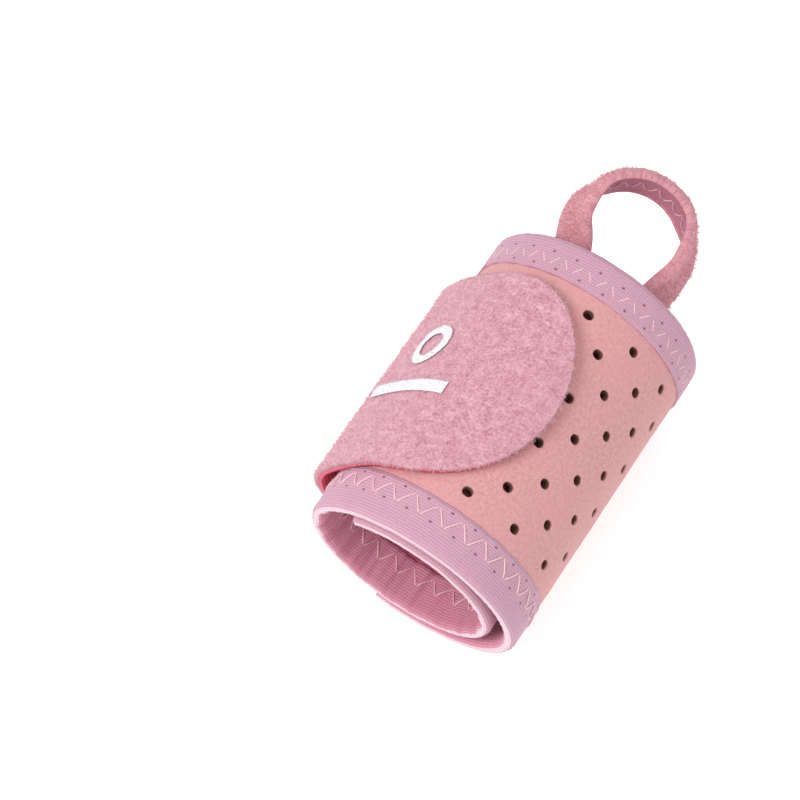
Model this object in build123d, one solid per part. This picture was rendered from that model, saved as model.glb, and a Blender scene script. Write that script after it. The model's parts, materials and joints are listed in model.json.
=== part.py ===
"""Rolled wrist support brace: a perforated foam-laminate wrap bound with elastic, a hook-and-loop tab, a thumb loop.

The wrap is one strip wound into a spiral. It is modelled as rigid arc segments, inner end first, that hinge on
the outer surface where they meet, so that the roll can open out flat. Each arc carries on tangentially from the
one before it. Units are millimetres. The roll's axis lies along Y, and +Z is up.
"""
from build123d import *
import math
import os

os.makedirs("parts", exist_ok=True)

# ---- driving dimensions: the wrap ------------------------------------------------------------------------------
wrap_width = 80.0           # along the forearm, over both bindings
panel_thickness = 3.0       # brushed outer knit, foam core and lining, bonded into one laminate
panel_edge_thickness = 2.0  # the same laminate, squeezed inside the bindings
binding_width = 12.0        # elastic tape showing on each face of the wrap
binding_thickness = 0.55    # one layer of that tape
sewing_gap = 0.05           # the tape's clearance round the laminate
start_angle = 127.0         # the inner end, in degrees from +X towards +Z; the wrap runs clockwise from it
inner_radius = 20.8         # centre-line radius of the first segment
first_span = 87.0           # degrees of roll in the first segment, which carries the thumb loop
other_span = 63.75          # degrees of roll in each segment after it
crease_gap = 0.05           # between the ends of neighbouring segments
# How much further out each segment's centre line lies than the first one's, as a share of a layer's thickness.
radius_growth = [0.0, 0.06, 0.12, 0.66, 1.06, 1.38, 1.56, 1.63, 1.69]

# ---- driving dimensions: the closure tab -----------------------------------------------------------------------
tab_width = 54.0
tab_offset = 1.0            # the tab's middle lies this far towards the thumb-loop edge
felt_thickness = 1.3        # looped pile face, outwards when closed
hook_thickness = 0.9        # hook face, towards the wrap
tab_clearance = 0.6         # pile height between the closed tab and the wrap under it
seam_lap = 8.0              # length of the tab's sewn end inside the wrap's outer end
tab_run_radius = 52.0       # centre-line radius of the nearly flat run that leaves the wrap's outer end
tab_spans = [24.0, 60.0, 60.0, 38.0]   # degrees in each segment of the tab: flat run, fold, shoulder, nose

# ---- driving dimensions: the thumb loop ------------------------------------------------------------------------
loop_width = 14.0           # of the folded strip
loop_cover_thickness = 2.0  # plush fabric outside
loop_tape_thickness = 1.0   # elastic tape inside
loop_reach = 29.0           # beyond the wrap's edge
loop_span = 27.6            # between the strip's centre lines at its widest
loop_leg_angles = (113.0, 41.0)
loop_end_width = 8.0        # of the gathered ends
loop_end_length = 13.0      # sewn inside the wrap's edge
loop_clearance = 0.4        # between the sewn ends' faces and the wrap
loop_lean = 8.0             # degrees that the crown leans up
loop_turn = 8.0             # degrees that the crown turns towards the left leg
foot_width = 4.0            # the strip is gathered to this width where the bow leaves the edge
foot_taper = 7.0            # length over which it spreads to its full width
foot_gap = 4.0              # room between the wrap's edge and the bow's feet, for its swing
hinge_gap = 1.0             # the bow swings about a line this far beyond the wrap's edge

# ---- driving dimensions: the printed mark on the tab -------------------------------------------------------------
mark_thickness = 0.15
ring_outer = 5.5
ring_inner = 3.2
bar_length = 25.0
bar_width = 3.2
mark_inset = 2.0            # the mark lies this far from the shoulder's middle, towards the roll's top
ring_rise = 7.0             # from the shoulder's middle line to the ring's centre
bar_drop = 5.0              # from the same line down to the bar's

binding_half = panel_edge_thickness / 2 + sewing_gap + binding_thickness   # half of the bound edge's thickness
half_width = wrap_width / 2
layer_thickness = max(panel_thickness, 2 * binding_half)
tab_thickness = felt_thickness + hook_thickness


def direction(angle):
    """Unit vector at an angle in the XZ plane."""
    return Vector(math.cos(math.radians(angle)), 0, math.sin(math.radians(angle)))


class Arc:
    """One stretch of the strip's centre line: its centre, radius, and first and last angle."""

    def __init__(self, centre, radius, start, span):
        self.centre = centre
        self.radius = radius
        self.start = start
        self.end = start - span
        self.span = span
        self.middle = start - span / 2

    def next(self, radius, span):
        """The arc that carries on tangentially from this one's end."""
        return Arc(self.centre + direction(self.end) * (self.radius - radius), radius, self.end, span)

    def point(self, angle, offset=0.0, y=0.0):
        """A point at an angle, offset outwards from the centre line."""
        return self.centre + direction(angle) * (self.radius + offset) + Vector(0, y, 0)

    def solid(self, profile, start=None, span=None):
        """Turns a profile, drawn as (offset outwards, y), about this arc's axis."""
        start = self.start if start is None else start
        span = (self.span if span is None else span) - math.degrees(crease_gap / self.radius)
        plane = Plane(origin=self.point(start), x_dir=direction(start), z_dir=direction(start).cross(Vector(0, 1, 0)))
        axis = Axis(self.centre, (0, 1, 0))
        return revolve(plane * profile, axis=axis, revolution_arc=span)


def band(low, high, y_low, y_high):
    """Rectangular profile between two offsets and two y values."""
    return Pos((low + high) / 2, (y_low + y_high) / 2) * Rectangle(high - low, y_high - y_low)


def panel_profile():
    """The laminate, squeezed thinner where the bindings hold its two edges."""
    edge = half_width - binding_thickness - sewing_gap
    body = half_width - binding_width - sewing_gap
    return (band(-panel_edge_thickness / 2, panel_edge_thickness / 2, -edge, edge)
            + band(-panel_thickness / 2, panel_thickness / 2, -body, body))


def binding_profile(side):
    """Elastic tape folded round one edge, with a rounded fold; side is -1 or 1."""
    inner = half_width - binding_width
    slot_half = panel_edge_thickness / 2 + sewing_gap
    outside = (band(-binding_half, binding_half, inner, half_width - binding_half)
               + Pos(0, half_width - binding_half) * Circle(binding_half))
    folded = outside - band(-slot_half, slot_half, inner - 1, half_width - binding_thickness)
    return folded if side > 0 else mirror(folded, about=Plane.XZ)


def as_part(shape):
    """One Part from whatever an operation returned."""
    return Part() + shape


# ---- layout: the wrap's arcs, then the tab's --------------------------------------------------------------------
wrap_arcs = [Arc(Vector(0, 0, 0), inner_radius, start_angle, first_span)]
for growth in radius_growth[1:]:
    wrap_arcs.append(wrap_arcs[-1].next(inner_radius + growth * layer_thickness, other_span))
outer_end = wrap_arcs[-1]
under_nose = wrap_arcs[6]   # the wrap segment on top of the roll, which the closed nose lies on
nose_radius = under_nose.radius + layer_thickness / 2 + tab_clearance + tab_thickness / 2


def fold_and_shoulder():
    """The two radii that bring the nose, with its own radius, onto the axis of the wrap under it."""
    run = outer_end.next(tab_run_radius, tab_spans[0])
    fold_end = direction(run.end - tab_spans[1])
    shoulder_end = direction(run.end - tab_spans[1] - tab_spans[2])
    per_fold = fold_end - direction(run.end)
    per_shoulder = shoulder_end - fold_end
    missing = under_nose.centre - run.centre - direction(run.end) * run.radius + shoulder_end * nose_radius
    turn = per_fold.X * per_shoulder.Z - per_fold.Z * per_shoulder.X
    fold = (missing.X * per_shoulder.Z - missing.Z * per_shoulder.X) / turn
    shoulder = (per_fold.X * missing.Z - per_fold.Z * missing.X) / turn
    return fold, shoulder


tab_chain = []
previous = outer_end
for span, radius in zip(tab_spans, (tab_run_radius, *fold_and_shoulder(), nose_radius)):
    previous = previous.next(radius, span)
    tab_chain.append(previous)

nodes = {}

# ---- the wrap: laminate and two bindings in each segment ---------------------------------------------------------
lap_degrees = math.degrees(seam_lap / outer_end.radius)
for number, arc in enumerate(wrap_arcs, start=1):
    if arc is outer_end:
        # Its last stretch keeps only the outer half of its thickness, because the tab's sewn end fills the inner half.
        lap_half = tab_width / 2 + sewing_gap
        full = arc.solid(panel_profile())
        lap_room = arc.solid(band(-panel_thickness, 0, tab_offset - lap_half, tab_offset + lap_half),
                             start=arc.end + lap_degrees, span=lap_degrees)
        nodes[f"wrap_panel_{number}"] = full - lap_room
    else:
        nodes[f"wrap_panel_{number}"] = arc.solid(panel_profile())
    nodes[f"near_binding_{number}"] = arc.solid(binding_profile(-1))
    nodes[f"far_binding_{number}"] = arc.solid(binding_profile(1))

# ---- the closure tab ---------------------------------------------------------------------------------------------
tab_low = tab_offset - tab_width / 2
tab_high = tab_offset + tab_width / 2
felt_band = band(tab_thickness / 2 - felt_thickness, tab_thickness / 2, tab_low, tab_high)
hook_band = band(-tab_thickness / 2, -tab_thickness / 2 + hook_thickness, tab_low, tab_high)
nodes["tab_sewn_end"] = outer_end.solid(band(-panel_thickness / 2, -sewing_gap, tab_low, tab_high),
                                        start=outer_end.end + lap_degrees, span=lap_degrees)
for number, arc in enumerate(tab_chain, start=1):
    felt = arc.solid(felt_band)
    hook = arc.solid(hook_band)
    if arc is tab_chain[-1]:
        # The nose is half an ellipse, cut square to the segment's middle.
        chord = arc.radius * math.sin(math.radians(arc.span / 2))
        middle = direction(arc.middle)
        face = Plane(origin=arc.point(arc.middle, y=tab_offset), x_dir=middle.cross(Vector(0, -1, 0)), z_dir=middle)
        outline = Pos(-chord, 0) * Ellipse(2 * chord, tab_width / 2)
        cutter = extrude(face * outline, amount=4 * tab_thickness, both=True)
        felt = felt & cutter
        hook = hook & cutter
    nodes[f"tab_felt_{number}"] = felt
    nodes[f"tab_hook_{number}"] = hook

# ---- the printed mark: a plain ring over a plain bar, on the tab's shoulder ----------------------------------------
shoulder = tab_chain[2]
film = shoulder.solid(band(tab_thickness / 2, tab_thickness / 2 + mark_thickness, tab_low, tab_high))
up = direction(shoulder.middle)
mark_plane = Plane(origin=shoulder.point(shoulder.middle), x_dir=up.cross(Vector(0, -1, 0)), z_dir=up)
ring = Pos(mark_inset, ring_rise) * (Circle(ring_outer) - Circle(ring_inner))
bar = Pos(mark_inset, -bar_drop) * Rectangle(bar_length, bar_width)
nodes["tab_mark"] = film & extrude(mark_plane * (ring + bar), amount=8 * tab_thickness, both=True)

# ---- the thumb loop ------------------------------------------------------------------------------------------------
loop_thickness = loop_cover_thickness + loop_tape_thickness
first = wrap_arcs[0]
end_outside = -binding_half - loop_clearance          # outer face of the sewn ends, from the centre line
end_middle = end_outside - loop_thickness / 2
end_radius = first.radius + end_middle
end_span = math.degrees(loop_end_width / end_radius)
for name, angle in zip(("left", "right"), loop_leg_angles):
    profile = band(end_outside - loop_thickness, end_outside,
                   half_width - loop_end_length, half_width)
    nodes[f"thumb_loop_{name}_end"] = first.solid(profile, start=angle + end_span / 2, span=end_span)

left_leg = first.point(loop_leg_angles[0], end_middle)
right_leg = first.point(loop_leg_angles[1], end_middle)
across = (right_leg - left_leg).normalized()
loop_middle = (left_leg + right_leg) * 0.5
lean = math.radians(loop_lean)
turn = math.radians(loop_turn)
leaning = Vector(0, math.cos(lean), 0) + across.cross(Vector(0, math.sin(lean), 0))
forward = leaning * math.cos(turn) - across * math.sin(turn)
sideways = across * math.cos(turn) + leaning * math.sin(turn)
bow_plane = Plane(origin=loop_middle + Vector(0, half_width + foot_gap, 0), x_dir=sideways,
                  z_dir=sideways.cross(forward))
side_plane = Plane(origin=bow_plane.origin, x_dir=forward, z_dir=sideways)

# The bow is one circular arc from foot to foot, with its strip on edge.
bow_radius = loop_span / 2
bow_centre = loop_reach - foot_gap - loop_thickness / 2 - bow_radius
bow_room = 2 * (bow_radius + loop_thickness)
taper = Polygon((0, -foot_width / 2), (foot_taper, -loop_width / 2), (bow_room, -loop_width / 2),
                (bow_room, loop_width / 2), (foot_taper, loop_width / 2), (0, foot_width / 2), align=None)
taper_block = extrude(side_plane * taper, amount=bow_room, both=True)


def bow_strip(inner, outer):
    """The part of the bow's strip between two radii, tapered towards its feet."""
    ring = Pos(0, bow_centre) * (Circle(outer) - Circle(inner))
    beyond_feet = Pos(0, bow_room / 2) * Rectangle(bow_room, bow_room)
    return extrude(bow_plane * (ring & beyond_feet), amount=loop_width, both=True) & taper_block


inside = bow_radius - loop_thickness / 2
nodes["thumb_loop_cover"] = bow_strip(inside + loop_tape_thickness, inside + loop_thickness)
nodes["thumb_loop_tape"] = bow_strip(inside, inside + loop_tape_thickness)

# ---- to the part's frame: the origin is the centre of the bounding box's underside ---------------------------------
nodes = {name: as_part(shape) for name, shape in nodes.items()}
everything = Compound(list(nodes.values())).bounding_box()
shift = Vector(-(everything.min.X + everything.max.X) / 2, -(everything.min.Y + everything.max.Y) / 2, -everything.min.Z)
for name, shape in nodes.items():
    export_step(shape.moved(Location(shift)), f"parts/{name}.step")
print("size", everything.size, "shift", shift)
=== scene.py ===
import json
import math
import random

import bmesh
import bpy
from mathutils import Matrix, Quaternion, Vector, noise


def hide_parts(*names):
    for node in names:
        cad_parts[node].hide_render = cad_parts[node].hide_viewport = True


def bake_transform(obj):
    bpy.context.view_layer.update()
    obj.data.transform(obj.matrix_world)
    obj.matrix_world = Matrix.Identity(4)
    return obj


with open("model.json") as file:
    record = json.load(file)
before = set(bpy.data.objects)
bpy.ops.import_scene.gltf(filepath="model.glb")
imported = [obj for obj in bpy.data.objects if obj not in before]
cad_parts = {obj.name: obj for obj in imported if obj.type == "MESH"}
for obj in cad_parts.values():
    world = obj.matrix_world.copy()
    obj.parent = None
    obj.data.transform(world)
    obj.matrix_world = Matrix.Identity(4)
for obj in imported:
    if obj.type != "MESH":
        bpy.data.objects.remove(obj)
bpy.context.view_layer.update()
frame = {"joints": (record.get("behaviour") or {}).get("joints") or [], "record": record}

# ---- Camera, floor and light ---------------------------------------------------------------------
# The brace lies on a plain white table and is seen from high up, a little to the right of its near end.
# Long lens, big soft lamps, white surroundings.
MM = 0.001
roll_middle = Vector((3.1, frame["record"]["mounts"][0]["pos_m"][1] / MM + 40.0, 27.7)) * MM
azimuth = math.radians(28.0)
elevation = math.radians(67.5)
camera_tilt = math.radians(-1.0)
camera_distance = 592 * MM
lens = 117.0
aim_left = 24.2 * MM
aim_up = 7.8 * MM

backwards = Vector((math.sin(azimuth) * math.cos(elevation), -math.cos(azimuth) * math.cos(elevation),
                    math.sin(elevation)))
sideways = Vector((math.cos(azimuth), math.sin(azimuth), 0))
upwards = backwards.cross(sideways)
camera = bpy.data.objects.new("camera", bpy.data.cameras.new("camera"))
bpy.context.scene.collection.objects.link(camera)
bpy.context.scene.camera = camera
camera.data.lens = lens
camera.data.clip_start = 0.01
camera.location = roll_middle + backwards * camera_distance
aim = roll_middle - sideways * aim_left + upwards * aim_up - camera.location
camera.rotation_mode = "QUATERNION"
camera.rotation_quaternion = aim.to_track_quat("-Z", "Y") @ Quaternion((0, 0, 1), camera_tilt)


def lamp(name, place, size, power):
    """A square soft lamp that faces the brace."""
    light = bpy.data.lights.new(name, "AREA")
    light.size = size
    light.energy = power
    lamp_object = bpy.data.objects.new(name, light)
    bpy.context.scene.collection.objects.link(lamp_object)
    lamp_object.location = place
    lamp_object.rotation_mode = "QUATERNION"
    lamp_object.rotation_quaternion = (roll_middle - Vector(place)).to_track_quat("-Z", "Y")


lamp("key_lamp", (-0.35, -0.45, 0.75), 0.45, 5.2)
lamp("top_lamp", (0.1, 0.2, 0.9), 0.8, 2.4)
lamp("side_lamp", (0.7, -0.3, 0.35), 0.5, 1.0)

bpy.context.scene.view_settings.view_transform = "Standard"
world = bpy.data.worlds.new("white_room")
bpy.context.scene.world = world
world.use_nodes = True
world.node_tree.nodes["Background"].inputs["Color"].default_value = (1, 1, 1, 1)
world.node_tree.nodes["Background"].inputs["Strength"].default_value = 0.45


class Signal:
    """A shader socket's value, with arithmetic that adds the Math nodes."""

    def __init__(self, cloth, socket):
        self.cloth = cloth
        self.socket = socket

    def math(self, operation, *others):
        made = self.cloth.node("ShaderNodeMath", {"operation": operation}, dict(enumerate([self, *others])))
        return Signal(self.cloth, made.outputs[0])

    def __add__(self, other):
        return self.math("ADD", other)

    def __sub__(self, other):
        return self.math("SUBTRACT", other)

    def __mul__(self, other):
        return self.math("MULTIPLY", other)

    def __truediv__(self, other):
        return self.math("DIVIDE", other)

    def __rsub__(self, other):
        return (self * -1) + other

    __radd__ = __add__
    __rmul__ = __mul__

    def wave(self, period):
        """A sine of this signal, from 0 to 1, that repeats every period."""
        return (self * (2 * math.pi / period)).math("SINE") * 0.5 + 0.5

    def clamped(self):
        return self.math("MAXIMUM", 0.0).math("MINIMUM", 1.0)

    def step(self, low, high):
        """0 below low, 1 above high, smooth between them."""
        t = ((self - low) / (high - low)).clamped()
        return t * t * (3 - t * 2)


class Cloth:
    """A material under construction, with its Principled shader and the piece's flat-pattern coordinates."""

    def __init__(self, name, roughness, sheen=0.0, sheen_tint=(1, 1, 1)):
        self.material = bpy.data.materials.new(name)
        self.material.use_nodes = True
        self.tree = self.material.node_tree
        self.shader = self.tree.nodes["Principled BSDF"]
        self.shader.inputs["Roughness"].default_value = roughness
        self.shader.inputs["Sheen Weight"].default_value = sheen
        self.shader.inputs["Sheen Roughness"].default_value = 0.5
        self.shader.inputs["Sheen Tint"].default_value = (*sheen_tint, 1)
        self.shader.inputs["Specular IOR Level"].default_value = 0.25

    def node(self, kind, settings=None, sockets=None):
        made = self.tree.nodes.new(kind)
        for key, value in (settings or {}).items():
            setattr(made, key, value)
        for key, value in (sockets or {}).items():
            if isinstance(value, Signal):
                value = value.socket
            if isinstance(value, bpy.types.NodeSocket):
                self.tree.links.new(value, made.inputs[key])
            else:
                made.inputs[key].default_value = value
        return made

    def flat(self):
        """(along, across) in millimetres on the flat pattern."""
        uv = self.node("ShaderNodeUVMap", {"uv_map": "flat"})
        parts = self.node("ShaderNodeSeparateXYZ", sockets={"Vector": uv.outputs["UV"]})
        return Signal(self, parts.outputs["X"]), Signal(self, parts.outputs["Y"])

    def attribute(self, name):
        return Signal(self, self.node("ShaderNodeAttribute", {"attribute_name": name}).outputs["Fac"])

    def place(self, *scale):
        """Object coordinates in millimetres, stretched by scale along X, Y and Z."""
        coordinates = self.node("ShaderNodeTexCoord").outputs["Object"]
        scale = [1000 * s for s in (scale or (1, 1, 1))]
        stretched = self.node("ShaderNodeMapping", sockets={"Vector": coordinates, "Scale": scale})
        return stretched.outputs["Vector"]

    def flat_place(self, along=1.0, across=1.0):
        """The flat-pattern coordinates as a vector, stretched."""
        uv = self.node("ShaderNodeUVMap", {"uv_map": "flat"}).outputs["UV"]
        stretched = self.node("ShaderNodeMapping", sockets={"Vector": uv, "Scale": (along, across, 1)})
        return stretched.outputs["Vector"]

    def speckle(self, vector, scale, detail=2.0, rough=0.5):
        made = self.node("ShaderNodeTexNoise", {"noise_dimensions": "3D"},
                         {"Vector": vector, "Scale": scale, "Detail": detail, "Roughness": rough})
        return Signal(self, made.outputs["Fac"])

    def mix(self, factor, first, second):
        """Colour first where factor is 0, second where it is 1."""
        sockets = {0: factor}
        for index, colour in ((6, first), (7, second)):
            is_plain = isinstance(colour, tuple)
            sockets[index] = (*colour, 1) if is_plain else colour
        return self.node("ShaderNodeMix", {"data_type": "RGBA"}, sockets).outputs[2]

    def finish(self, colour, height=None, depth=0.1):
        """Puts the colour and a bump, depth in millimetres, into the shader."""
        self.tree.links.new(colour, self.shader.inputs["Base Color"])
        if height is not None:
            sockets = {"Height": height, "Distance": depth * MM, "Strength": 1.0}
            bump = self.node("ShaderNodeBump", sockets=sockets)
            self.tree.links.new(bump.outputs["Normal"], self.shader.inputs["Normal"])
        return self.material


def table_top():
    cloth = Cloth("white_table", 0.8)
    grain = cloth.speckle(cloth.place(), 0.02)
    cloth.shader.inputs["Emission Color"].default_value = (1, 1, 1, 1)
    cloth.shader.inputs["Emission Strength"].default_value = 0.42
    return cloth.finish(cloth.mix(grain, (0.93, 0.93, 0.93), (0.96, 0.96, 0.96)))


bm = bmesh.new()
bmesh.ops.create_grid(bm, x_segments=1, y_segments=1, size=3.0)
bmesh.ops.translate(bm, vec=(0, 0, -0.0004), verts=bm.verts)
floor_mesh = bpy.data.meshes.new("floor")
bm.to_mesh(floor_mesh)
bm.free()
floor_mesh.materials.append(table_top())
floor = bpy.data.objects.new("floor", floor_mesh)
bpy.context.scene.collection.objects.link(floor)

# ---- The wrap: one punched strip of laminate -----------------------------------------------------
# Brushed salmon-pink knit outside, 3 mm of foam, and a deep pink lining. It is cut flat, punched with
# staggered rows of vent holes and wound clockwise from its inner end, so it is made flat here and then
# wound the same way.
start_angle = 127.0
first_span = 87.0
other_span = 63.75
wrap_half = 40.0
bound_half = 1.6            # half of the thickness at the bound edges, where the hinges lie
panel_half = 1.45
squeezed_half = 0.95
near_tape_edge = -28.4
far_tape_edge = 30.6
hole_step = 6.4
hole_row = 6.225
hole_columns = 37
hole_rows = 9
first_column = 2.8          # where the first column's cell begins
first_row = -26.67
hole_square = 0.75          # the square that rounds to a hole
rim_square = 1.5            # the square round it that holds its rim
seam_lap = 8.0              # length of the tab's end that is sewn under the wrap's outer end
crease_pitch = 7.5          # of the lining's creases, across the strip, where it is wound tightest
crease_height = 0.65
tight_until = 110.0         # the creases are at their full height up to here along the strip
loose_from = 150.0          # and gone from here on
tab_half = 27.0
tab_offset = 1.0
tab_half_thickness = 1.1
tab_spans = [24.0, 60.0, 60.0, 38.0]
tab_clearance = 0.6
axis_y = frame["record"]["mounts"][0]["pos_m"][1] / MM + wrap_half


def outwards(angle):
    """Unit vector at an angle from +X towards +Z."""
    return Vector((math.cos(math.radians(angle)), 0, math.sin(math.radians(angle))))


def hinge_line(name):
    """Where a joint's line crosses the XZ plane, in millimetres."""
    spot = next(j["pos_m"] for j in frame["joints"] if j["name"] == name)
    return Vector((spot[0], 0, spot[2])) / MM


class Strip:
    """A wound strip: arcs that carry on from one another, each with the body that it belongs to."""

    def __init__(self, bodies, radii, spans, start, centre):
        self.bodies = bodies
        self.arcs = []
        begin = 0.0
        for index, (radius, span) in enumerate(zip(radii, spans)):
            if index:
                centre = centre + outwards(start) * (radii[index - 1] - radius)
            length = math.radians(span) * radius
            self.arcs.append((begin, begin + length, centre, radius, start))
            begin += length
            start -= span
        self.length = begin

    def at(self, along, y, off):
        """The place, in metres, of a point of the flat strip: along, across and off its middle surface."""
        arc = self.arcs[0]
        for candidate in self.arcs:
            if along >= candidate[0]:
                arc = candidate
        begin, _, centre, radius, start = arc
        angle = start - math.degrees((along - begin) / radius)
        place = centre + outwards(angle) * (radius + off)
        return Vector((place.x, y + axis_y, place.z)) * MM

    def middle(self, index):
        return (self.arcs[index][0] + self.arcs[index][1]) / 2

    def stretches(self):
        """Where to cut a cloth, with each piece's two bodies and where its bend begins and ends."""
        last = len(self.arcs) - 2
        for index in range(last + 1):
            low = -1e3 if index == 0 else self.middle(index)
            high = 1e3 if index == last else self.middle(index + 1)
            yield (low, high, self.bodies[index], self.bodies[index + 1],
                   self.at(self.middle(index), 0, 0), self.at(self.middle(index + 1), 0, 0))


def radii_between(hinges, spans, off):
    """Centre-line radii of the arcs between hinges that lie off their middle surface."""
    pairs = zip(hinges, hinges[1:], spans)
    return [(b - a).length / (2 * math.sin(math.radians(span / 2))) - off for a, b, span in pairs]


wrap_joints = [f"unroll_wrap_{n}" for n in range(1, 8)] + ["unroll", "unroll_tab_1"]
wrap_hinges = [hinge_line(name) for name in wrap_joints]
wrap_spans = [first_span] + [other_span] * 8
outer_radii = radii_between(wrap_hinges, wrap_spans[1:], bound_half)
inner_radius = outer_radii[0] - (outer_radii[1] - outer_radii[0])
first_centre = wrap_hinges[0] - outwards(start_angle - first_span) * (inner_radius + bound_half)
wrap = Strip([f"wrap_{n}" for n in range(1, 10)], [inner_radius] + outer_radii, wrap_spans, start_angle,
             first_centre)
wrap_end = start_angle - sum(wrap_spans)


def flat_uv(mesh, rule=None):
    """Gives a flat cloth its pattern coordinates, in millimetres."""
    layer = mesh.uv_layers.new(name="flat")
    for loop in mesh.loops:
        place = mesh.vertices[loop.vertex_index].co
        layer.data[loop.index].uv = rule(place) if rule else place.xy
    return mesh


def baked(holder):
    """The mesh that an object's modifiers or curve make; the object itself is removed."""
    bpy.context.scene.collection.objects.link(holder)
    bpy.context.view_layer.update()
    mesh = bpy.data.meshes.new_from_object(holder.evaluated_get(bpy.context.evaluated_depsgraph_get()))
    bpy.data.objects.remove(holder)
    return mesh


def flat_mesh(name, bm, levels=0, rule=None):
    """The bmesh as a flat cloth, made round by subdivision, with its pattern coordinates."""
    bmesh.ops.recalc_face_normals(bm, faces=bm.faces)
    for face in bm.faces:
        face.smooth = True
    mesh = bpy.data.meshes.new(name)
    bm.to_mesh(mesh)
    bm.free()
    if levels:
        holder = bpy.data.objects.new(name, mesh)
        smoother = holder.modifiers.new("round", "SUBSURF")
        smoother.levels = smoother.render_levels = levels
        mesh = baked(holder)
    return flat_uv(mesh, rule)


def cut_out(mesh, low, high):
    """A bmesh of the flat cloth between two places along it, its cut ends closed."""
    bm = bmesh.new()
    bm.from_mesh(mesh)
    for place, inner, outer in ((low, True, False), (high, False, True)):
        bmesh.ops.bisect_plane(bm, geom=bm.verts[:] + bm.edges[:] + bm.faces[:], plane_co=(place, 0, 0),
                               plane_no=(1, 0, 0), clear_inner=inner, clear_outer=outer)
    cut = [e for e in bm.edges if e.is_boundary]
    for edge in cut:
        edge.smooth = False
    for face in bmesh.ops.holes_fill(bm, edges=cut, sides=0)["faces"]:
        face.smooth = False
    return bm


def finished(name, bm, material):
    """An object from a bmesh, with its material."""
    mesh = bpy.data.meshes.new(name)
    bm.to_mesh(mesh)
    bm.free()
    mesh.materials.append(material)
    piece = bpy.data.objects.new(name, mesh)
    bpy.context.scene.collection.objects.link(piece)
    return piece


def wind(name, cloth, strip, shape, material, stands_for=None):
    """Cuts a flat cloth at the middle of each segment and winds each piece into place."""
    for number, (low, high, before, after, start, end) in enumerate(strip.stretches(), start=1):
        bm = cut_out(cloth, low, high)
        if not bm.faces:
            bm.free()
            continue
        depth = bm.verts.layers.float.new("depth")
        for vert in bm.verts:
            vert[depth] = vert.co.z
            vert.co = strip.at(*shape(*vert.co))
        piece = finished(f"{name}_{number}", bm, material)
        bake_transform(piece)
        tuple(start)
        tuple(end)
        if stands_for:
            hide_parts(*stands_for(number))


def ramp(value, low, high):
    """0 below low, 1 above high, smooth between them."""
    t = min(max((value - low) / (high - low), 0.0), 1.0)
    return t * t * (3 - 2 * t)


def punched_laminate():
    """The flat strip with a hole in every second cell of its grid."""
    bm = bmesh.new()
    bmesh.ops.create_grid(bm, x_segments=hole_columns, y_segments=hole_rows, size=0.5)
    bmesh.ops.scale(bm, vec=(hole_columns * hole_step, hole_rows * hole_row, 1), verts=bm.verts)
    bmesh.ops.translate(bm, verts=bm.verts, vec=(first_column + hole_columns * hole_step / 2,
                                                 first_row + hole_rows * hole_row / 2, 0))
    punched = []
    for face in bm.faces:
        middle = face.calc_center_median()
        column = (middle.x - first_column) // hole_step
        row = (middle.y - first_row) // hole_row
        if (column + row) % 2 == 0:
            punched.append(face)
    for index, low, high in ((0, 0.0, wrap.length), (1, 0.6 - wrap_half, wrap_half - 0.6)):
        for limit, side in ((low, min), (high, max)):
            rim_place = side(v.co[index] for v in bm.verts)
            rim = [e for e in bm.edges if all(abs(v.co[index] - rim_place) < 1e-3 for v in e.verts)]
            for share in (0.35, 1.0):
                grown = bmesh.ops.extrude_edge_only(bm, edges=rim)["geom"]
                rim = [g for g in grown if isinstance(g, bmesh.types.BMEdge)]
                for vert in (g for g in grown if isinstance(g, bmesh.types.BMVert)):
                    vert.co[index] = rim_place + (limit - rim_place) * share
    bmesh.ops.inset_individual(bm, faces=punched, thickness=(hole_row - rim_square) / 2)
    bmesh.ops.inset_individual(bm, faces=punched, thickness=(rim_square - hole_square) / 2)
    bmesh.ops.delete(bm, geom=punched, context="FACES")
    bmesh.ops.solidify(bm, geom=bm.faces[:], thickness=2 * panel_half)
    middle = (max(v.co.z for v in bm.verts) + min(v.co.z for v in bm.verts)) / 2
    bmesh.ops.translate(bm, verts=bm.verts, vec=(0, 0, -middle))
    return flat_mesh("laminate_flat", bm, levels=3)


def lining_crease(along, y):
    """Height of the creases that the lining and the tape share."""
    wander = 2.0 * noise.noise(Vector((along * 0.1, 2.0, y * 0.05)))
    return crease_height * (0.5 + 0.5 * math.sin(2 * math.pi * along / crease_pitch + wander))


def tightness(along):
    """1 where the strip is wound tightest, 0 in its outer turn."""
    return 1.0 - ramp(along, tight_until, loose_from)


def laminate_shape(along, y, off):
    """Squeezed under the bindings, thinned where the tab's end is sewn under it, and very slightly uneven."""
    squeeze = max(ramp(-y, -near_tape_edge - 0.5, -near_tape_edge + 2.5),
                  ramp(y, far_tape_edge - 0.5, far_tape_edge + 2.5))
    unevenness = noise.noise(Vector((along * 0.07, y * 0.09, 3.0))) * 0.12 * (1 - squeeze)
    off *= 1 - squeeze * (1 - squeezed_half / panel_half)
    lap = ramp(along, wrap.length - seam_lap - 1, wrap.length - seam_lap)
    lap *= ramp(tab_half + 1 - abs(y - tab_offset), 0, 0.8)
    off += lap * (panel_half - off) / 2
    hollow = ramp(-off, 0.3, 1.2) * tightness(along) * (1 - lap)
    return along, y, off + unevenness + hollow * lining_crease(along, y)


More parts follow.
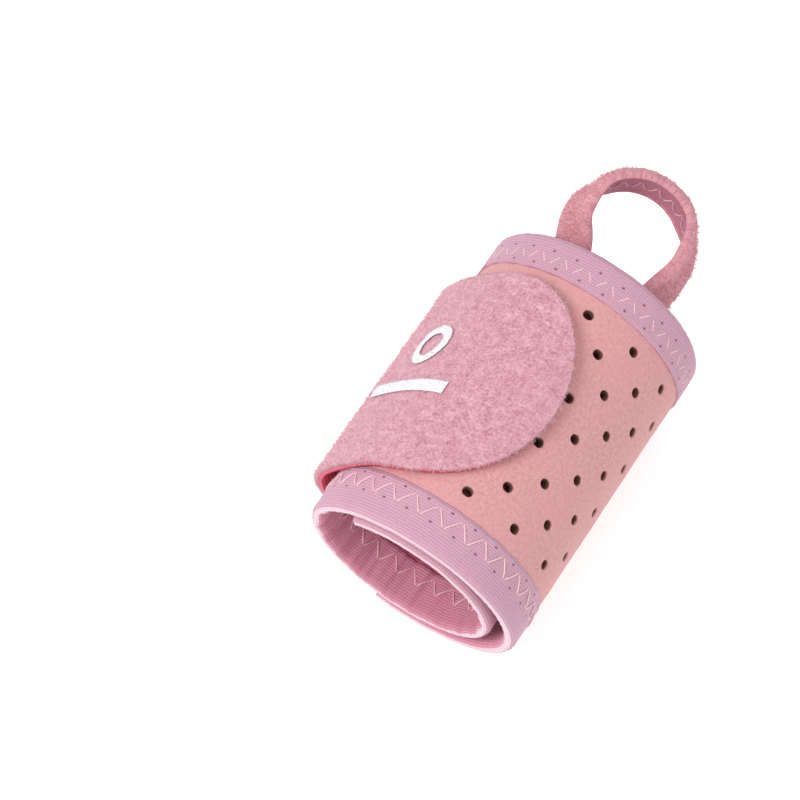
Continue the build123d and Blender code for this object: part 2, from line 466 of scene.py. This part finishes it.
def brushed_knit():
    """Salmon-pink brushed knit outside, brown foam in the holes' walls, deep pink lining inside."""
    cloth = Cloth("brushed_laminate", 0.92, sheen=0.25, sheen_tint=(1.0, 0.85, 0.85))
    fibre = cloth.speckle(cloth.flat_place(2.2, 6.0), 1.0, detail=4.0, rough=0.65)
    tuft = cloth.speckle(cloth.flat_place(), 1.1, detail=3.0)
    cloud = cloth.speckle(cloth.flat_place(), 0.06)
    depth = cloth.attribute("depth")
    outer = cloth.mix((fibre * 1.5 + tuft * 0.6 - 0.7).clamped(), (0.52, 0.20, 0.20), (0.92, 0.58, 0.58))
    outer = cloth.mix(((cloud - 0.4) * 1.4).clamped(), outer, (0.72, 0.33, 0.34))
    foam = cloth.mix(tuft, (0.10, 0.035, 0.02), (0.26, 0.12, 0.06))
    lining = cloth.mix(fibre, (0.36, 0.06, 0.12), (0.58, 0.15, 0.25))
    colour = cloth.mix(depth.step(0.75, 1.25), foam, outer)
    colour = cloth.mix(depth.step(-0.9, -1.2), colour, lining)
    return cloth.finish(colour, fibre * 0.7 + tuft * 0.5, depth=0.14)


wind("laminate", punched_laminate(), wrap, laminate_shape, brushed_knit(),
     stands_for=lambda n: [f"wrap_panel_{n}"] + (["wrap_panel_9"] if n == 8 else []))

# ---- The bindings: ribbed elastic tape folded over both long edges -------------------------------
# Lilac-pink woven elastic, 24 mm wide at the near edge and 20 mm at the far one before it is folded in
# half round the edge and sewn through. It pulls in a little at each stitch, and crimps inside the roll,
# where it is tighter.
tape_half = 1.325           # from the strip's middle surface to the middle of the tape
tape_thickness = 0.5
near_tape_width = 11.6
far_tape_width = 9.4
stitch_pitch = 5.7
stitch_depth = 4.2
stitch_inset = 1.3          # from the tape's edge to the nearer needle holes
crimp_pitch = 2.6
crimp_height = 0.16
needle_hole = 0.3           # radius


def tape_across(place, side, width):
    """How far round the folded tape a point lies, from the tape's outer edge, in millimetres."""
    fold = wrap_half - tape_half - tape_thickness / 2
    y = place.y * side
    if y <= fold:
        turn = 0.0 if place.z > 0 else math.pi
    else:
        turn = math.atan2(y - fold, place.z)
    flat_part = min(y, fold)
    return width - wrap_half + fold + tape_half * turn + (flat_part - fold) * (1 if place.z > 0 else -1)


def folded_tape(side, width):
    """The flat wrap's binding: a grid bent round the edge, then thickened."""
    fold = wrap_half - tape_half - tape_thickness / 2
    straight = width - tape_half - tape_thickness / 2
    full = 2 * straight + math.pi * tape_half
    bm = bmesh.new()
    bmesh.ops.create_grid(bm, x_segments=420, y_segments=24, size=0.5)
    bmesh.ops.scale(bm, vec=(wrap.length, full, 1), verts=bm.verts)
    for vert in bm.verts:
        round_edge = vert.co.y + full / 2
        turn = min(max((round_edge - straight) / tape_half, 0.0), math.pi)
        past = max(round_edge - straight - math.pi * tape_half, 0.0)
        y = fold - max(straight - round_edge, 0.0) - past + tape_half * math.sin(turn)
        vert.co = (vert.co.x + wrap.length / 2, y * side, tape_half * math.cos(turn))
    bmesh.ops.recalc_face_normals(bm, faces=bm.faces)
    bmesh.ops.solidify(bm, geom=bm.faces[:], thickness=tape_thickness)
    offset = max(v.co.z for v in bm.verts) - tape_half - tape_thickness / 2
    if offset < -0.1:
        for vert in bm.verts:
            vert.co.z *= (tape_half + tape_thickness / 2) / tape_half
    return flat_mesh("tape_flat", bm, rule=lambda place: (place.x, tape_across(place, side, width)))


def tape_shape(side, width):
    """The tape dips at its stitches, and crimps where it is wound tightest."""
    edge = side * (wrap_half - width)

    def shape(along, y, off):
        near_stitches = ramp(stitch_depth + stitch_inset + 1.5 - abs(y - edge), 0, 2.0)
        pull = 0.09 * near_stitches * math.cos(2 * math.pi * along / stitch_pitch)
        fold = ramp(abs(y), wrap_half - 4.0, wrap_half)
        tight = tightness(along)
        crimp = math.sin(2 * math.pi * along / crimp_pitch + 1.3 * noise.noise(Vector((along * 0.2, 7.0, 0))))
        inner = ramp(-off, -0.4, 1.0)
        off += pull if off > 0 else -pull
        off += inner * tight * lining_crease(along, y)
        off -= crimp_height * crimp * (inner * (0.3 + 0.7 * tight) + 0.3 * fold)
        waver = 0.10 * noise.noise(Vector((along * 0.16, side * 5.0, 1.0)))
        return along, y + waver * fold, off

    return shape


def ribbed_tape(name, dark, pale, folded=True):
    """Fine ribs along the tape; a folded one also has a paler fold, needle holes and painted shade: a deeper,
    darker pink on its inner leg, inside the roll.
    """
    cloth = Cloth(name, 0.8, sheen=0.15, sheen_tint=(1.0, 0.85, 0.95))
    along, across = cloth.flat()
    depth = cloth.attribute("depth")
    ribs = across.wave(0.7)
    weft = along.wave(0.55)
    grain = cloth.speckle(cloth.flat_place(3.0, 3.0), 1.0, detail=3.0)
    blotch = cloth.speckle(cloth.flat_place(0.25, 0.6), 1.0)
    tone = (ribs * 0.25 + weft * 0.15 + grain * 0.7 - 0.1).clamped()
    colour = cloth.mix(tone, dark, pale)
    if not folded:
        return cloth.finish(colour, ribs * 0.5 + weft * 0.25 + grain * 0.5, depth=0.10)
    colour = cloth.mix(((blotch - 0.45) * 1.5).clamped(), colour, (0.66, 0.33, 0.42))
    # Painted shade: the same tape's inner leg, inside the roll, is drawn a darker, deeper pink than its outer
    # leg.
    inside = cloth.mix(tone, (0.42, 0.11, 0.18), (0.86, 0.42, 0.54))
    colour = cloth.mix(depth.step(-0.6, -1.2), colour, inside)
    worn = 1 - depth.math("ABSOLUTE").step(0.35, 1.15)
    colour = cloth.mix(worn * (0.35 + ribs * 0.45), colour, (0.93, 0.74, 0.80))
    for row, phase in ((stitch_inset, 0.25), (stitch_inset + stitch_depth, -0.25)):
        beside = (along + stitch_pitch * phase).wave(stitch_pitch).step(0.955, 0.985)
        on_row = 1 - (across - row).math("ABSOLUTE").step(needle_hole * 0.6, needle_hole * 1.3)
        colour = cloth.mix(beside * on_row * 0.75, colour, (0.16, 0.05, 0.07))
    return cloth.finish(colour, ribs * 0.5 + weft * 0.25 + grain * 0.5, depth=0.10)


tape_material = ribbed_tape("elastic_binding", (0.38, 0.18, 0.26), (0.80, 0.50, 0.60))
for edge_name, side, width in (("near", -1, near_tape_width), ("far", 1, far_tape_width)):
    wind(f"{edge_name}_tape", folded_tape(side, width), wrap, tape_shape(side, width), tape_material,
         stands_for=lambda n: [f"{edge_name}_binding_{n}"] + ([f"{edge_name}_binding_9"] if n == 8 else []))

# ---- Zigzag stitching through each binding -------------------------------------------------------
# Soft pink thread, one stretch from needle hole to needle hole, on the outside and on the inside of the
# wrap.
thread_radius = 0.16


def zigzag(length, start, near, far, height, pitch, radius):
    """Flat mesh of a zigzag seam along a strip; each stretch dips into the cloth at both ends."""
    curve = bpy.data.curves.new("seam", "CURVE")
    curve.dimensions = "3D"
    curve.bevel_depth = radius
    curve.bevel_resolution = 1
    curve.use_fill_caps = True
    count = int(length / (pitch / 2))
    for index in range(count):
        ends = (near, far) if index % 2 == 0 else (far, near)
        spline = curve.splines.new("POLY")
        shares = (0.0, 0.08, 0.3, 0.7, 0.92, 1.0)
        spline.points.add(len(shares) - 1)
        for point, share in zip(spline.points, shares):
            sunk = 3.0 * radius * (1 - ramp(min(share, 1 - share), 0.0, 0.2))
            outward = 1 if height > 0 else -1
            point.co = (start + (index + share) * pitch / 2, ends[0] + (ends[1] - ends[0]) * share,
                        height + outward * (radius - sunk), 1)
    return flat_uv(baked(bpy.data.objects.new("seam", curve)))


def thread_material():
    cloth = Cloth("thread", 0.6)
    twist = cloth.speckle(cloth.flat_place(6.0, 2.0), 1.0)
    return cloth.finish(cloth.mix(twist, (0.74, 0.42, 0.46), (0.96, 0.74, 0.76)))


seam_start = stitch_pitch / 2
thread = thread_material()
surface = tape_half + tape_thickness / 2
for edge_name, side, width in (("near", -1, near_tape_width), ("far", 1, far_tape_width)):
    nearer = side * (wrap_half - width + stitch_inset)
    further = nearer + side * stitch_depth
    for face_name, height in (("outer", surface), ("inner", -surface)):
        seam = zigzag(wrap.length - 2 * seam_start, seam_start, nearer, further, height, stitch_pitch,
                      thread_radius)
        wind(f"{edge_name}_{face_name}_seam", seam, wrap, tape_shape(side, width), thread)

# ---- The closure tab: looped felt over a bright hook face ----------------------------------------
# A tongue with a rounded nose, sewn under the wrap's outer end. Outside it is thick looped pile,
# speckled pale and rose; its underside is a thin hot-pink hook sheet that holds the roll shut.
nose_length = 24.0
felt_low = -0.2             # the felt's and the hook face's shared surface, off the tab's middle
skew = 4.2                  # the tab was closed crooked: its fold lies this far towards the near edge
snug = 2.0                  # how far the soft fold sags in towards the roll
tab_hinges = [hinge_line(f"unroll_tab_{n}") for n in (1, 2, 3)] + [hinge_line("tab_peel")]
tab_hinges[0] = tab_hinges[0] - outwards(wrap_end) * (bound_half - tab_half_thickness)
nose_radius = outer_radii[5] + bound_half + tab_clearance + tab_half_thickness
tab_radii = radii_between(tab_hinges, tab_spans, tab_half_thickness)
last_wrap = wrap.arcs[-1]
tab = Strip(["wrap_9", "tab_1", "tab_2", "tab_3", "tab_4"], [outer_radii[-1]] + tab_radii + [nose_radius],
            [other_span] + tab_spans, last_wrap[4], last_wrap[2])
tab_seam = tab.arcs[0][1]
nose_tip = tab.length


def tongue(low, high, cell):
    """The flat tab between two offsets: a grid drawn in to a half ellipse at its nose, then thickened."""
    begin = tab_seam - seam_lap + 0.3
    length = nose_tip - begin
    bm = bmesh.new()
    columns = round(length / cell)
    rows = round(2 * tab_half / cell)
    bmesh.ops.create_grid(bm, x_segments=columns, y_segments=rows, size=0.5)
    for vert in bm.verts:
        x = begin + (vert.co.x + 0.5) * length
        y = vert.co.y * 2 * tab_half
        reach = max(x - (nose_tip - nose_length), 0.0) / nose_length
        bow = math.sqrt(max(1 - (y / tab_half) ** 2, 0.0))
        if reach > 0:
            x = nose_tip - nose_length + nose_length * reach * bow
        vert.co = (x, y + tab_offset, 0)
    bmesh.ops.remove_doubles(bm, verts=bm.verts, dist=0.02)
    bmesh.ops.recalc_face_normals(bm, faces=bm.faces)
    bmesh.ops.solidify(bm, geom=bm.faces[:], thickness=high - low)
    shift = (high + low) / 2 - (max(v.co.z for v in bm.verts) + min(v.co.z for v in bm.verts)) / 2
    bmesh.ops.translate(bm, verts=bm.verts, vec=(0, 0, shift))
    return flat_mesh("tongue", bm)


def settled(along, y, off):
    """The whole tab as it lies: crooked, sagging at its fold, and thin where it is sewn under the wrap."""
    sewn = 1 - ramp(along, tab_seam - 0.5, tab_seam + 3.0)
    y -= skew * ramp(nose_tip - along, 8, 50) * ramp(along - tab_seam, 0, 16)
    off -= snug * ramp(along - tab_seam, 8, 24) * ramp(nose_tip - along, 24, 44)
    return along, y, off - sewn * (0.78 + off * 0.42)


def felt_shape(along, y, off):
    """Lumpy pile on the outside and a slightly wavering rim."""
    spot = Vector((along, y, 0.0))
    lump = noise.noise(spot * 0.9) * 0.16 + noise.noise(spot * 2.2 + Vector((9, 4, 2))) * 0.10
    lump += 0.25 * noise.noise(spot * 0.12)
    outside = ramp(off, felt_low, tab_half_thickness) * ramp(along, tab_seam, tab_seam + 3.0)
    wobble = 0.22 * noise.noise(spot * 0.5 + Vector((0, 0, 5)))
    y += wobble * ramp(abs(y - tab_offset), tab_half - 3, tab_half)
    return settled(along, y, off + lump * outside)


def looped_felt():
    """Speckled pile: pale tips over rose roots."""
    cloth = Cloth("tab_felt", 0.95, sheen=0.35, sheen_tint=(1.0, 0.85, 0.88))
    tips = cloth.speckle(cloth.flat_place(), 1.5, detail=4.0, rough=0.7)
    clump = cloth.speckle(cloth.flat_place(), 0.45, detail=3.0)
    cloud = cloth.speckle(cloth.flat_place(), 0.07)
    tone = (tips * 1.7 + clump * 0.9 - 0.85).clamped()
    colour = cloth.mix(tone, (0.48, 0.15, 0.21), (0.94, 0.59, 0.66))
    colour = cloth.mix((cloud - 0.45).clamped(), colour, (0.72, 0.37, 0.44))
    return cloth.finish(colour, tips + clump * 0.6, depth=0.35)


def hook_face():
    """Bright moulded hook sheet with fine rows."""
    cloth = Cloth("tab_hook", 0.6)
    along, across = cloth.flat()
    rows = along.wave(1.1) * across.wave(1.1)
    grain = cloth.speckle(cloth.flat_place(), 1.2)
    colour = cloth.mix((rows * 0.7 + grain * 0.4).clamped(), (0.72, 0.05, 0.13), (0.95, 0.26, 0.34))
    return cloth.finish(colour, rows, depth=0.25)


def tab_nodes(kind):
    """The CAD nodes that each wound piece of a tab layer stands for."""
    return lambda n: [f"tab_{kind}_{n}"] + (["tab_sewn_end"] if kind == "felt" and n == 1 else [])


wind("felt", tongue(felt_low, tab_half_thickness, 0.45), tab, felt_shape,
     looped_felt(), stands_for=tab_nodes("felt"))
wind("hook", tongue(-tab_half_thickness, felt_low - 0.02, 1.5), tab, settled, hook_face(),
     stands_for=tab_nodes("hook"))

# ---- The felt's pile: thousands of short fibres --------------------------------------------------
# Each fibre is one fine nylon loop, opened and bent over at random. They stand all over the face and
# stick out past the rim, which is what makes the tab's outline fuzzy.
pile_count = 11000
rim_pile_count = 1300
bare_end = 3.0              # no fibres this close to the seam
nose_rim = 80               # about how long the nose's rim is
fibre_length = 1.15
fibre_radius = 0.045
random.seed(7)


def pile(roots, length, radius):
    """Flat mesh of bent fibres. Each root is (place, direction that it leans in)."""
    curve = bpy.data.curves.new("pile", "CURVE")
    curve.dimensions = "3D"
    curve.bevel_depth = radius
    curve.bevel_resolution = 0
    for place, lean in roots:
        reach = length * random.uniform(0.6, 1.2)
        swing = Vector([random.uniform(-1, 1) for _ in range(3)]) * 0.6
        spline = curve.splines.new("POLY")
        spline.points.add(2)
        bend = place + (lean + swing * 0.5) * reach * 0.5
        tip = bend + (lean * 0.3 + swing) * reach * 0.5
        for point, spot, thick in zip(spline.points, (place, bend, tip), (1.0, 1.0, 0.5)):
            point.co = (*spot, 1)
            point.radius = thick
    return flat_uv(baked(bpy.data.objects.new("pile", curve)))


def tab_roots():
    """Roots over the felt's face and round its rim."""
    begin = tab_seam + bare_end
    while True:
        x = random.uniform(begin, nose_tip)
        y = random.uniform(-tab_half, tab_half)
        past = max(x - (nose_tip - nose_length), 0.0) / nose_length
        if past ** 2 + (y / tab_half) ** 2 < 1 or past == 0:
            yield Vector((x, y + tab_offset, tab_half_thickness - 0.12)), Vector((0, 0, 0.75))


def rim_roots():
    """Roots along the felt's two sides and round its nose, leaning outwards."""
    begin = tab_seam + bare_end
    straight = nose_tip - nose_length - begin
    while True:
        z = random.uniform(felt_low + 0.1, tab_half_thickness - 0.1)
        if random.random() < 2 * straight / (2 * straight + nose_rim):
            side = random.choice((-1, 1))
            x = random.uniform(begin, begin + straight)
            yield Vector((x, side * (tab_half - 0.15) + tab_offset, z)), Vector((0, side * 0.8, 0.2))
        else:
            turn = random.uniform(-math.pi / 2, math.pi / 2)
            ray = Vector((math.cos(turn), math.sin(turn), 0))
            x = nose_tip - nose_length + (nose_length - 0.15) * ray.x
            yield Vector((x, (tab_half - 0.15) * ray.y + tab_offset, z)), ray * 0.8 + Vector((0, 0, 0.2))


def fibre_material(name, dark, pale):
    cloth = Cloth(name, 0.7, sheen=0.2)
    shade = cloth.speckle(cloth.flat_place(), 2.5)
    return cloth.finish(cloth.mix(((shade - 0.3) * 2.2).clamped(), dark, pale))


felt_fibre = fibre_material("felt_fibre", (0.58, 0.23, 0.30), (0.96, 0.76, 0.80))
face_roots = [root for root, _ in zip(tab_roots(), range(pile_count))]
face_roots += [root for root, _ in zip(rim_roots(), range(rim_pile_count))]
wind("felt_pile", pile(face_roots, fibre_length, fibre_radius), tab, felt_shape, felt_fibre)

# ---- The printed mark: a plain ring over a plain bar ---------------------------------------------
# White film, heat-pressed into the pile of the tab's shoulder, so that it follows the pile's lumps and
# its bends.
mark_lift = 0.12            # the film's own thickness
mark_height = 0.50          # the film's face above the pile's roots, level with most of the fibres' tips
mark_inset = 2.0
ring_rise = 7.0
bar_drop = 5.0
ring_radii = (3.2, 5.5)
bar_size = (25.0, 3.2)
shoulder_middle = tab.middle(3)


def flat_mark(x, y, make):
    """One shape of the mark as a thin flat plate on the felt."""
    bm = bmesh.new()
    make(bm)
    for _ in range(3):
        bmesh.ops.subdivide_edges(bm, edges=bm.edges[:], cuts=1, use_grid_fill=True)
    bmesh.ops.translate(bm, verts=bm.verts, vec=(x, y, tab_half_thickness))
    bmesh.ops.recalc_face_normals(bm, faces=bm.faces)
    bmesh.ops.solidify(bm, geom=bm.faces[:], thickness=mark_lift)
    return bm


def ring_plate(bm):
    for radius in ring_radii:
        bmesh.ops.create_circle(bm, segments=40, radius=radius)
    bmesh.ops.bridge_loops(bm, edges=bm.edges[:])


def bar_plate(bm):
    bmesh.ops.create_grid(bm, x_segments=7, y_segments=1, size=0.5)
    bmesh.ops.scale(bm, vec=(*bar_size, 1), verts=bm.verts)


def mark_shape(along, y, off):
    """The film lies on the pile: it takes the felt's height at the same spot."""
    lift = off - tab_half_thickness
    place = felt_shape(along, y, tab_half_thickness)
    return along, place[1], place[2] + mark_height + lift


def print_film():
    cloth = Cloth("print_film", 0.55)
    grain = cloth.speckle(cloth.flat_place(), 0.9, detail=3.0)
    return cloth.finish(cloth.mix(grain, (0.72, 0.72, 0.76), (0.86, 0.86, 0.90)), grain, depth=0.1)


film = print_film()
for mark_name, x, y, make in (("ring", shoulder_middle + mark_inset, ring_rise, ring_plate),
                              ("bar", shoulder_middle + mark_inset, -bar_drop, bar_plate)):
    wind(f"mark_{mark_name}", flat_mesh(mark_name, flat_mark(x, y, make)), tab, mark_shape, film,
         stands_for=lambda n: ["tab_mark"])

# ---- The thumb loop: plush folded over an elastic tape -------------------------------------------
# A 14 mm strip, gathered to 9 mm where its two ends are sewn inside the wrap's far edge. Between them
# it turns from lying on the wrap to standing on edge, and bows out round the thumb.
loop_leg_angles = (113.0, 41.0)
loop_sunk = 3.5             # from the wrap's middle surface in to the strip's middle at its sewn ends
loop_radius = 13.8
loop_centre = 13.7          # from the wrap's edge to the bow's centre
loop_lean = math.radians(8.0)
loop_turn = math.radians(8.0)
loop_sewn = 12.5            # of each end inside the wrap's edge
loop_half_width = 7.0
loop_tape_half_width = 5.6
plush_count = 3600
loop_gather = 0.62          # how much of its width is left at the sewn ends
loop_half_turned = 0.6      # how far it has turned on edge where the bow is widest


class Ribbon:
    """The loop's middle line with the strip's facing at each place: sewn end, turn, bow, turn, sewn end."""

    def __init__(self):
        legs = [first_centre + outwards(a) * (inner_radius - loop_sunk) for a in loop_leg_angles]
        across = (legs[1] - legs[0]).normalized()
        leaning = Vector((0, math.cos(loop_lean), 0)) + across.cross(Vector((0, math.sin(loop_lean), 0)))
        forwards = leaning * math.cos(loop_turn) - across * math.sin(loop_turn)
        sideways = across * math.cos(loop_turn) + leaning * math.sin(loop_turn)
        centre = (legs[0] + legs[1]) / 2 + Vector((0, wrap_half, 0)) + forwards * loop_centre
        self.stations = []
        left = self.leg(legs[0], centre, sideways, forwards, -1, loop_leg_angles[0])
        right = self.leg(legs[1], centre, sideways, forwards, 1, loop_leg_angles[1])
        bow = []
        for step in range(1, 60):
            angle = math.pi * (1 - step / 60)
            spoke = sideways * math.cos(angle) + forwards * math.sin(angle)
            turned = loop_half_turned + ramp(min(step, 60 - step), 0, 16) * (1 - loop_half_turned)
            rest = outwards(loop_leg_angles[0 if step < 30 else 1]) * (1 - turned)
            facing = (rest + spoke * turned).normalized()
            bow.append((centre + spoke * loop_radius, facing, turned))
        run = left + bow + right[::-1]
        along = 0.0
        for index, (place, facing, width) in enumerate(run):
            if index:
                along += (place - run[index - 1][0]).length
            self.stations.append((along, place, facing, width))
        self.length = along

    def leg(self, foot, centre, sideways, forwards, side, angle):
        """From a sewn end out to the widest place of the bow."""
        steps = []
        edge = foot + Vector((0, wrap_half - 1.0, 0))
        for step in range(8):
            place = edge + Vector((0, (step / 8 - 1) * (loop_sewn - 1.0), 0))
            steps.append((place, outwards(angle), 0.0))
        target = centre + sideways * side * loop_radius
        pull = (target - edge).length
        for step in range(17):
            t = step / 16
            place = (edge * (1 + 2 * t) * (1 - t) ** 2 + Vector((0, 1, 0)) * pull * t * (1 - t) ** 2
                     + target * t * t * (3 - 2 * t) - forwards * pull * t * t * (1 - t))
            turned = ramp(t, 0, 1) * loop_half_turned
            facing = (outwards(angle) * (1 - turned) + sideways * side * turned).normalized()
            steps.append((place, facing, turned))
        return steps

    def at(self, along, across, off):
        """The place, in metres, of a point of the flat strip."""
        along = min(max(along, 0.0), self.length - 1e-4)
        index = next(i for i, station in enumerate(self.stations[1:]) if station[0] >= along)
        before, after = self.stations[index], self.stations[index + 1]
        share = (along - before[0]) / (after[0] - before[0])
        place = before[1].lerp(after[1], share)
        facing = before[2].lerp(after[2], share).normalized()
        width = before[3] + (after[3] - before[3]) * share
        tangent = (after[1] - before[1]).normalized()
        crosswise = facing.cross(tangent).normalized()
        facing = tangent.cross(crosswise).normalized()
        gathered = loop_gather + (1 - loop_gather) * width
        spot = place + crosswise * across * gathered + facing * off
        return Vector((spot.x, spot.y + axis_y, spot.z)) * MM


ribbon = Ribbon()


def strip_of(half_width, low, high, cell, levels):
    """A flat strip as long as the loop, between two offsets."""
    bm = bmesh.new()
    bmesh.ops.create_grid(bm, x_segments=round(ribbon.length / cell), y_segments=round(2 * half_width / cell),
                          size=0.5)
    bmesh.ops.scale(bm, vec=(ribbon.length, 2 * half_width, 1), verts=bm.verts)
    bmesh.ops.recalc_face_normals(bm, faces=bm.faces)
    bmesh.ops.solidify(bm, geom=bm.faces[:], thickness=high - low)
    shift = (high + low) / 2 - (max(v.co.z for v in bm.verts) + min(v.co.z for v in bm.verts)) / 2
    bmesh.ops.translate(bm, verts=bm.verts, vec=(ribbon.length / 2, 0, shift))
    return flat_mesh("loop_strip", bm, levels=levels)


def lay_on_loop(name, cloth, shape, material):
    """Bends a flat strip into the loop; it follows the wrap at its sewn ends and the bow beyond them."""
    bm = bmesh.new()
    bm.from_mesh(cloth)
    for vert in bm.verts:
        vert.co = ribbon.at(*shape(*vert.co))
    bmesh.ops.recalc_face_normals(bm, faces=bm.faces)
    piece = finished(name, bm, material)
    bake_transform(piece)
    return piece


def plush_shape(along, across, off):
    """Thick soft pile whose two edges curl in over the tape."""
    rim = ramp(abs(across), loop_half_width - 2.2, loop_half_width)
    spot = Vector((along, across, 3.0))
    lump = noise.noise(spot * 0.8) * 0.14 + noise.noise(spot * 0.2) * 0.25
    return along, across * (1 - 0.05 * rim), off + lump * ramp(off, -0.6, 1.2) - 1.3 * rim


def plush():
    """Short dense pile, rose with paler tips."""
    cloth = Cloth("loop_plush", 0.95, sheen=0.3, sheen_tint=(1.0, 0.8, 0.82))
    tips = cloth.speckle(cloth.flat_place(), 1.6, detail=4.0, rough=0.7)
    clump = cloth.speckle(cloth.flat_place(), 0.4, detail=2.0)
    colour = cloth.mix((tips * 1.5 + clump * 0.6 - 0.6).clamped(), (0.46, 0.14, 0.18), (0.86, 0.48, 0.52))
    return cloth.finish(colour, tips + clump * 0.5, depth=0.3)


loop_cover = lay_on_loop("loop_cover", strip_of(loop_half_width, -0.45, 1.4, 0.8, 1), plush_shape, plush())
plush_roots = []
for _ in range(plush_count):
    across = random.uniform(-loop_half_width, loop_half_width)
    rim = ramp(abs(across), loop_half_width - 2.2, loop_half_width)
    root = Vector((random.uniform(0, ribbon.length), across, random.uniform(1.25 - 1.2 * rim, 1.3)))
    plush_roots.append((root, Vector((0, math.copysign(0.7 * rim, across), 0.9 - 0.5 * rim))))
plush_fibre = fibre_material("plush_fibre", (0.56, 0.17, 0.22), (0.96, 0.56, 0.61))
lay_on_loop("loop_pile", pile(plush_roots, 1.1, 0.05), plush_shape, plush_fibre)
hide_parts("thumb_loop_cover", "thumb_loop_left_end", "thumb_loop_right_end")
loop_tape = lay_on_loop("loop_tape", strip_of(loop_tape_half_width, -1.25, -0.5, 0.8, 1),
                        lambda *place: place,
                        ribbed_tape("loop_tape", (0.30, 0.06, 0.11), (0.68, 0.26, 0.34), folded=False))
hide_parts("thumb_loop_tape")
loop_seam = zigzag(ribbon.length - 4, 2.0, -2.6, 2.6, -1.25, 4.6, 0.15)
lay_on_loop("loop_seam", loop_seam, lambda *place: place, thread)
